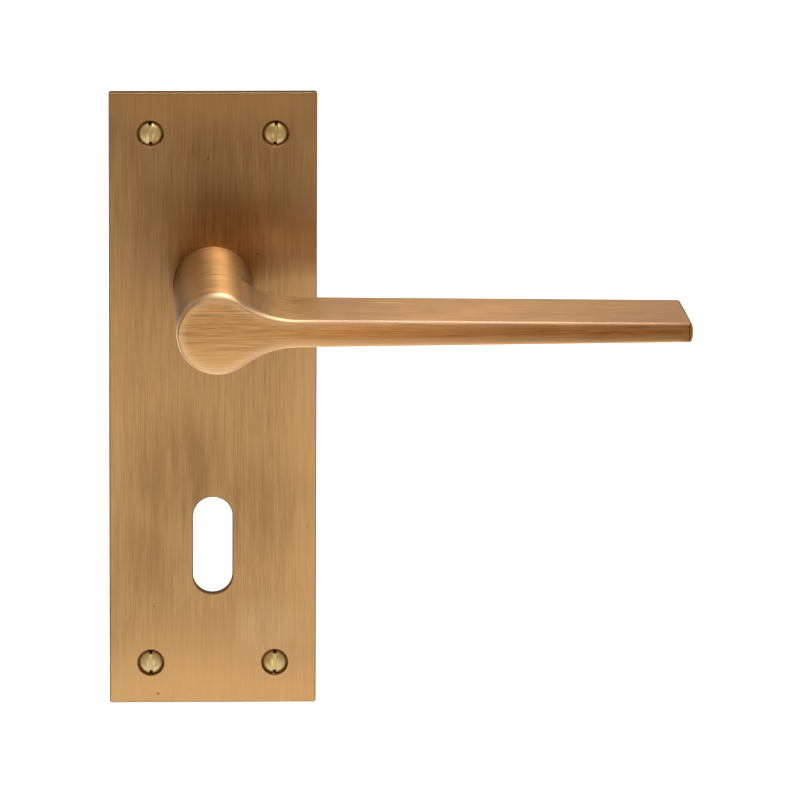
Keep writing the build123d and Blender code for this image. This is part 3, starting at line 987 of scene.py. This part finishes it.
class Nodes:
    """Short hand for building a node tree."""

    def __init__(self, name):
        self.material = bpy.data.materials.new(name)
        self.material.use_nodes = True
        self.tree = self.material.node_tree
        self.shader = self.tree.nodes["Principled BSDF"]
        place = self.add("ShaderNodeTexCoord")
        self.object = place.outputs["Object"]
        self.normal = place.outputs["Normal"]

    def add(self, kind, **values):
        node = self.tree.nodes.new(kind)
        for key, value in values.items():
            setattr(node, key, value)
        return node

    def feed(self, socket, value):
        if isinstance(value, bpy.types.NodeSocket):
            self.tree.links.new(value, socket)
        elif value is not None:
            socket.default_value = value

    def shade(self, name, value):
        """Feed one of the shader's inputs."""
        self.feed(self.shader.inputs[name], value)

    def node(self, kind, *values, **settings):
        """Add a node, feed its first inputs in order and give its first output."""
        node = self.add(kind, **settings)
        for socket, value in zip(node.inputs, values):
            self.feed(socket, value)
        return node.outputs[0]

    def math(self, operation, a, b=None, clamp=False):
        return self.node("ShaderNodeMath", a, b, operation=operation, use_clamp=clamp)

    def times(self, a, b, clamp=False):
        return self.math("MULTIPLY", a, b, clamp)

    def minus(self, a, b, clamp=False):
        return self.math("SUBTRACT", a, b, clamp)

    def absolute(self, value):
        return self.math("ABSOLUTE", value)

    def vector(self, operation, a, b=None):
        node = self.add("ShaderNodeVectorMath", operation=operation)
        self.feed(node.inputs[0], a)
        self.feed(node.inputs[1], b)
        return node.outputs["Value" if operation == "LENGTH" else "Vector"]

    def split(self, vector):
        node = self.add("ShaderNodeSeparateXYZ")
        self.feed(node.inputs[0], vector)
        return tuple(node.outputs)

    def join(self, x, y, z):
        return self.node("ShaderNodeCombineXYZ", x, y, z)

    def noise(self, vector, scale=1.0, detail=3.0, rough=0.55, stretch=None):
        if stretch is not None:
            vector = self.vector("MULTIPLY", vector, stretch)
        node = self.add("ShaderNodeTexNoise")
        self.feed(node.inputs["Vector"], vector)
        node.inputs["Scale"].default_value = scale
        node.inputs["Detail"].default_value = detail
        node.inputs["Roughness"].default_value = rough
        return node.outputs[0]

    def remap(self, value, a, b, c=0.0, d=1.0, smooth=False):
        """Take a..b to c..d, and hold c and d outside it."""
        shape = "SMOOTHSTEP" if smooth else "LINEAR"
        return self.node("ShaderNodeMapRange", value, a, b, c, d, interpolation_type=shape)

    def mix(self, factor, a, b, kind="RGBA"):
        """Mix two colours, or two vectors or values if the kind says so."""
        first, second, out = MIX_SOCKETS[kind]
        node = self.add("ShaderNodeMix", data_type=kind)
        self.feed(node.inputs[0], factor)
        for index, value in ((first, a), (second, b)):
            if kind == "RGBA" and isinstance(value, tuple):
                value = (*value, 1)
            self.feed(node.inputs[index], value)
        return node.outputs[out]

    def attribute(self, name):
        return self.add("ShaderNodeAttribute", attribute_name=name).outputs["Fac"]

    def bump(self, height, strength, distance):
        node = self.add("ShaderNodeBump")
        node.inputs["Strength"].default_value = strength
        node.inputs["Distance"].default_value = distance
        self.feed(node.inputs["Height"], height)
        return node.outputs[0]

    def to_world(self, vector):
        return self.node("ShaderNodeVectorTransform", vector, vector_type="VECTOR",
                         convert_from="OBJECT", convert_to="WORLD")

    def sum(self, *terms):
        """Weighted sum of (value, weight) terms."""
        total = None
        for value, weight in terms:
            part = self.times(value, weight)
            total = part if total is None else self.math("ADD", total, part)
        return total


def brushed(n, vector, light, dark, patina, rough):
    """Bronzed brass with brush lines along the vector's slow axis."""
    fine = n.noise(vector, 1.0, 2.0, 0.6)
    short = n.noise(vector, 0.9, 3.0, 0.65, n.short)
    broad = n.noise(vector, 0.30, 2.0, 0.5)
    cloud = n.noise(n.object, 42.0, 3.0, 0.55)
    tone = n.sum((fine, 0.48), (short, 0.28), (broad, 0.11), (cloud, 0.13))
    colour = n.mix(n.remap(tone, 0.395, 0.605), dark, light)
    lines = n.remap(n.noise(vector, 1.5, 1.0, 0.5), 0.58, 0.76, 0.0, 0.35, smooth=True)
    colour = n.mix(lines, colour, patina)
    roughness = n.sum((fine, 0.12), (short, 0.10), (cloud, 0.10))
    n.roughness = n.math("ADD", roughness, rough - 0.16)
    n.shade("Normal", n.bump(n.sum((fine, 0.6), (short, 0.4)), 0.35, 0.000014))
    n.shader.inputs["Metallic"].default_value = 1.0
    n.shader.inputs["Anisotropic"].default_value = 0.75
    return colour, cloud, fine


def screw_distance(n, x, z):
    """Distance from the axis of the nearest wood screw."""
    across = n.minus(n.absolute(x), SCREW_X)
    down = n.minus(n.absolute(n.minus(z, PLATE_MID_Z)), SCREW_TOP_Z - PLATE_MID_Z)
    return n.vector("LENGTH", n.join(across, 0.0, down))


def plate_relief_and_light(n, x, z):
    """Lighter next to the edges: painted light towards the bottom and right, and lighter bronzing near
    the top and left.
    """
    low = n.remap(z, PLATE_LOW.z + 24 * MM, PLATE_LOW.z + 1 * MM, smooth=True)
    top = n.remap(z, PLATE_HIGH.z - 14 * MM, PLATE_HIGH.z - 1 * MM, 0.0, 0.9, smooth=True)
    right = n.remap(x, 12 * MM, 25 * MM, 0.0, 0.65, smooth=True)
    left = n.remap(x, -18 * MM, -24.5 * MM, 0.0, 0.35, smooth=True)
    return n.math("MAXIMUM", n.math("MAXIMUM", low, top), n.math("MAXIMUM", right, left))


def soft_spots(n, x, z, places):
    """Soft streaky patches at places listed like PATINA_AND_SHADE_CLOUDS."""
    total = None
    for px, pz, rx, rz, amount in places:
        u = n.math("DIVIDE", n.minus(x, px * MM), rx * MM)
        v = n.math("DIVIDE", n.minus(z, pz * MM), rz * MM)
        cloud = n.remap(n.vector("LENGTH", n.join(u, v, 0.0)), 1.0, 0.15, 0.0, amount, smooth=True)
        total = cloud if total is None else n.math("MAXIMUM", total, cloud)
    streaks = n.noise(n.object, 1.0, 4.0, 0.65, (560.0, 560.0, 42.0))
    return n.times(total, n.remap(streaks, *MIXED_SPAN, 0.45, 1.45), clamp=True)


def pits(n, x, z):
    """A few small dark pits in the casting."""
    cells = n.add("ShaderNodeTexVoronoi", voronoi_dimensions="2D")
    cells.inputs["Scale"].default_value = 80.0
    n.feed(cells.inputs["Vector"], n.join(x, z, 0.0))
    size = n.remap(n.split(cells.outputs["Color"])[0], 0.62, 1.0, 0.0, 0.030)
    return n.times(n.math("LESS_THAN", cells.outputs["Distance"], size), 0.7)


def plate_material():
    """Brushed up and down, with dark edge faces, painted shade in the countersinks and keyhole, and
    painted light and shade round the lever.
    """
    n = Nodes("bronzed_brass_plate")
    n.short = (1.0, 1.0, 2.3)
    vector = n.vector("MULTIPLY", n.object, (2900.0, 2900.0, 75.0))
    x, y, z = n.split(n.object)
    light, dark, line = (0.511, 0.324, 0.143), (0.338, 0.203, 0.085), (0.174, 0.100, 0.043)
    colour, cloud, _ = brushed(n, vector, light, dark, line, 0.40)
    # painted light towards the bottom and right, and lighter bronzing near the top and left edges
    relief_and_light = n.times(plate_relief_and_light(n, x, z), n.remap(cloud, *NOISE_SPAN, 0.45, 0.75))
    colour = n.mix(relief_and_light, colour, (0.675, 0.429, 0.188))
    # lighter spots: worn places, and beside the grip painted light
    colour = n.mix(soft_spots(n, x, z, RUBBED_AND_LIT_SPOTS), colour, (0.690, 0.500, 0.290))
    # darker clouds: bronzing below the lever's axis, and above it painted shade and reflection of the
    # lever, where they turn greyer
    deep = n.mix(n.remap(z, -10 * MM, 10 * MM), (0.185, 0.110, 0.047), (0.21, 0.148, 0.095))
    colour = n.mix(soft_spots(n, x, z, PATINA_AND_SHADE_CLOUDS), colour, deep)
    colour = n.mix(pits(n, x, z), colour, (0.06, 0.03, 0.012))
    # edge faces and hole walls keep the dark bronzing; the keyhole's walls are darker still, painted
    # shade
    facing = n.absolute(n.split(n.normal)[1])
    edge = n.remap(facing, 0.92, 0.55)
    colour = n.mix(edge, colour, (0.165, 0.115, 0.075))
    # painted shade on the keyhole's walls
    hole = n.times(edge, n.remap(n.absolute(x), 8 * MM, 7 * MM))
    hole = n.times(hole, n.remap(z, PLATE_HIGH.z - 2 * MM, PLATE_HIGH.z - 4 * MM))
    hole = n.times(hole, n.remap(z, PLATE_LOW.z + 2 * MM, PLATE_LOW.z + 4 * MM))
    colour = n.mix(hole, colour, (0.115, 0.062, 0.028))
    n.shader.inputs["Specular Tint"].default_value = (1.0, 0.72, 0.46, 1.0)
    n.shade("Roughness", n.math("ADD", n.roughness, n.times(edge, 0.2)))
    # painted shade in the countersinks round the screw heads
    near = n.remap(screw_distance(n, x, z), 3.5 * MM, 3.25 * MM, smooth=True)
    inside = n.remap(y, PLATE_LOW.y, PLATE_LOW.y + 0.12 * MM, smooth=True)
    inside = n.times(inside, n.remap(y, -0.2 * MM, -0.5 * MM))
    colour = n.mix(n.times(near, inside), colour, (0.190, 0.100, 0.038))
    n.shade("Base Color", colour)
    n.shade("Tangent", n.to_world(n.join(1.0, 0.0, 0.0)))
    return n.material


def lever_material():
    """Brushed along the grip and round the neck, with worn edges that also carry painted highlight, and
    painted light and shade by which way faces look.
    """
    dark_bronze_and_shade = (0.165, 0.080, 0.028)
    n = Nodes("bronzed_brass_lever")
    n.short = (2.3, 1.0, 1.0)
    x, y, z = n.split(n.object)
    radius = n.vector("LENGTH", n.join(x, 0.0, z))
    near = n.remap(radius, NECK_R + 0.5 * MM, NECK_R + 0.1 * MM, smooth=True)
    behind = n.remap(y, LEVER_FRONT + 1.2 * MM, LEVER_FRONT + 1.8 * MM, smooth=True)
    neck = n.times(near, behind)
    angle = n.math("ARCTAN2", z, x)
    rings = n.join(n.times(angle, 0.9), n.times(y, 3100.0), 0.0)
    lines = n.vector("MULTIPLY", n.object, (92.0, 3100.0, 3100.0))
    vector = n.mix(neck, lines, rings, "VECTOR")
    # the disc has yellowed; the grip's tops take a paler colour and its front a redder one, painted light
    # and shade by which way each face looks
    disc = n.remap(x, 34 * MM, 6 * MM, smooth=True)
    top = n.remap(n.split(n.normal)[2], 0.4, 0.9)
    light = n.mix(top, (0.590, 0.286, 0.092), (0.465, 0.252, 0.102))
    light = n.mix(disc, light, (0.540, 0.316, 0.122))
    dark = n.mix(top, (0.372, 0.168, 0.050), (0.305, 0.158, 0.062))
    dark = n.mix(disc, dark, (0.268, 0.148, 0.056))
    colour, cloud, fine = brushed(n, vector, light, dark, (0.196, 0.090, 0.032), 0.43)
    neck_shine = n.times(neck, n.remap(fine, *MIXED_SPAN, 0.0, 0.60))
    colour = n.mix(neck_shine, colour, (0.882, 0.475, 0.175))
    # painted light: the disc turns lighter towards its bottom
    lower_disc_light = n.times(disc, n.remap(z, 1 * MM, -9 * MM, 0.0, 0.27, smooth=True))
    colour = n.mix(lower_disc_light, colour, (0.90, 0.60, 0.275))
    from_root = n.absolute(n.minus(x, 28 * MM))
    root = n.times(top, n.remap(from_root, 4 * MM, 16 * MM, 0.28, 0.0))
    colour = n.mix(root, colour, dark_bronze_and_shade)
    # walls that face sideways, and the tip's end, take painted shade in the dark bronze colour
    side_shade = n.remap(n.absolute(n.split(n.normal)[0]), 0.60, 0.95, 0.0, 0.6, smooth=True)
    colour = n.mix(side_shade, colour, dark_bronze_and_shade)
    # the edges are worn, and their worn colour is also painted highlight: the lower edge all along, the
    # upper one less and less towards the tip
    lower = n.remap(z, 0.5 * MM, -0.5 * MM, smooth=True)
    upper = n.remap(x, 20 * MM, TIP_X, 0.75, 0.35)
    wear_and_highlight = n.times(n.attribute("edge_wear_and_highlight"), n.remap(cloud, *NOISE_SPAN, 0.75, 1.0))
    wear_and_highlight = n.times(wear_and_highlight, n.mix(lower, upper, 1.5, "FLOAT"), clamp=True)
    # the worn edges and their painted highlight die away at the tip's end, which keeps its painted shade
    wear_and_highlight = n.times(wear_and_highlight, n.remap(x, TIP_X - 3.5 * MM, TIP_X - 1.0 * MM, 1.0, 0.15))
    # the upper roundings along the grip take a dim cream, a painted highlight tint, where the other worn
    # edges are bright gold
    edge = n.remap(n.absolute(n.split(n.normal)[1]), 0.98, 0.90)
    edge = n.times(edge, n.remap(x, 12 * MM, 30 * MM, smooth=True))
    worn = n.mix(n.minus(edge, lower, clamp=True), (0.955, 0.680, 0.390), (0.64, 0.50, 0.38))
    colour = n.mix(wear_and_highlight, colour, worn)
    n.shade("Base Color", colour)
    worn_rough = n.remap(edge, 0.0, 1.0, 0.14, 0.30)
    n.shade("Roughness", n.sum((n.roughness, 1.0), (neck, 0.09), (wear_and_highlight, worn_rough)))
    across = n.vector("CROSS_PRODUCT", n.normal, (1.0, 0.0, 0.0))
    across = n.vector("ADD", across, (0.0, 0.0, 0.02))
    tangent = n.mix(neck, across, (0.0, 1.0, 0.0), "VECTOR")
    n.shade("Tangent", n.to_world(tangent))
    return n.material


def screw_material(name, slot=False):
    """Polished brass; a slot is a little tarnished, with painted shade on its walls and, nearly black, at
    its ends.
    """
    n = Nodes(name)
    fine = n.noise(n.object, 900.0, 3.0, 0.6)
    cloud = n.noise(n.object, 220.0, 2.0, 0.5)
    tone = n.remap(n.sum((fine, 0.3), (cloud, 0.7)), *MIXED_SPAN)
    colour = n.mix(tone, (0.86, 0.71, 0.31), (0.97, 0.86, 0.48))
    if slot:
        x, _, z = n.split(n.object)
        # painted shade, nearly black, at the slot's ends
        slot_end_shade = n.remap(screw_distance(n, x, z), 1.75 * MM, 2.2 * MM, smooth=True)
        colour = n.mix(0.15, colour, (0.50, 0.36, 0.12))
        colour = n.mix(slot_end_shade, colour, (0.02, 0.010, 0.004))
        # painted shade on the slot's walls
        walls = n.remap(n.absolute(n.split(n.normal)[1]), 0.8, 0.4, 0.0, 0.85)
        colour = n.mix(walls, colour, (0.16, 0.085, 0.02))
    n.shade("Base Color", colour)
    smoothest, roughest = (0.50, 0.62) if slot else (0.34, 0.48)
    n.shade("Roughness", n.remap(cloud, *NOISE_SPAN, smoothest, roughest))
    n.shade("Normal", n.bump(fine, 0.15, 0.000006))
    n.shader.inputs["Metallic"].default_value = 1.0
    return n.material


def metal(name, light, dark, rough, scale, stretch=(1.0, 1.0, 1.0), stain=None):
    """Grey or black metal; a stain adds soft tarnished spots."""
    n = Nodes(name)
    fine = n.noise(n.object, scale, 4.0, 0.6, stretch)
    cloud = n.noise(n.object, 70.0, 3.0, 0.5)
    tone = n.remap(n.sum((fine, 0.5), (cloud, 0.5)), *MIXED_SPAN)
    colour = n.mix(tone, dark, light)
    if stain:
        spot = n.remap(n.noise(n.object, 55.0, 2.0, 0.5), 0.48, 0.70, 0.0, 0.5, smooth=True)
        colour = n.mix(spot, colour, stain)
    n.shade("Base Color", colour)
    grain = n.sum((fine, 0.6), (cloud, 0.4))
    n.shade("Roughness", n.remap(grain, *NOISE_SPAN, rough - 0.07, rough + 0.08))
    n.shade("Normal", n.bump(fine, 0.3, 0.000008))
    n.shader.inputs["Metallic"].default_value = 1.0
    return n.material


def acetal():
    """Off-white turned plastic."""
    n = Nodes("acetal")
    cloud = n.noise(n.object, 160.0, 3.0, 0.5)
    lines = n.noise(n.object, 1.0, 2.0, 0.5, (200.0, 5000.0, 200.0))
    n.shade("Base Color", n.mix(cloud, (0.78, 0.76, 0.70), (0.88, 0.87, 0.82)))
    n.shade("Roughness", n.remap(lines, *NOISE_SPAN, 0.38, 0.52))
    n.shade("Normal", n.bump(lines, 0.2, 0.00001))
    n.shader.inputs["Subsurface Weight"].default_value = 0.15
    n.shader.inputs["Subsurface Radius"].default_value = (0.0012, 0.001, 0.0008)
    return n.material


# ---- scene

make_camera()
make_world()
make_floor()
make_lights()
bpy.context.scene.view_settings.view_transform = "Standard"

plate_brass = plate_material()
lever_brass = lever_material()
screw_brass = screw_material("polished_brass_screw")
slot_brass = screw_material("tarnished_and_shaded_brass_slot", slot=True)
zinc = metal("zinc_plate", (0.70, 0.71, 0.72), (0.54, 0.56, 0.58), 0.32, 520.0, stain=(0.62, 0.60, 0.50))
bar_steel = metal("zinc_bar", (0.66, 0.67, 0.68), (0.50, 0.52, 0.54), 0.34, 1.0, (2200.0, 60.0, 2200.0))
spring_steel = metal("spring_steel", (0.46, 0.46, 0.47), (0.34, 0.34, 0.35), 0.28, 700.0)
black = metal("black_oxide", (0.07, 0.07, 0.075), (0.035, 0.035, 0.04), 0.40, 600.0)
plastic = acetal()

slots = {
    "bronzed_brass": plate_brass,
    "polished_brass": screw_brass,
    "zinc_steel": zinc,
    "spring_steel": spring_steel,
    "black_steel": black,
    "acetal": plastic,
}
for part in frame["record"]["subparts"]:
    materials = frame["nodes"][part["node"]].data.materials
    materials.clear()
    materials.append(slots[part["material_slot"]])

lever_mesh(lever_brass)
lever_journal(lever_brass)
wood_screws(screw_brass, slot_brass)
mounting_studs(zinc)
nuts(zinc)
ring_group("plain_washers", "stud_washers", zinc, 3.3 * MM, 1.6 * MM, 0.08 * MM)
ring_group("sleeves", "spacer_sleeves", zinc, 2.5 * MM, 1.6 * MM, 0.1 * MM)
housing(zinc)
cover(zinc)
spindle_bar(bar_steel)
spring_coil(spring_steel)
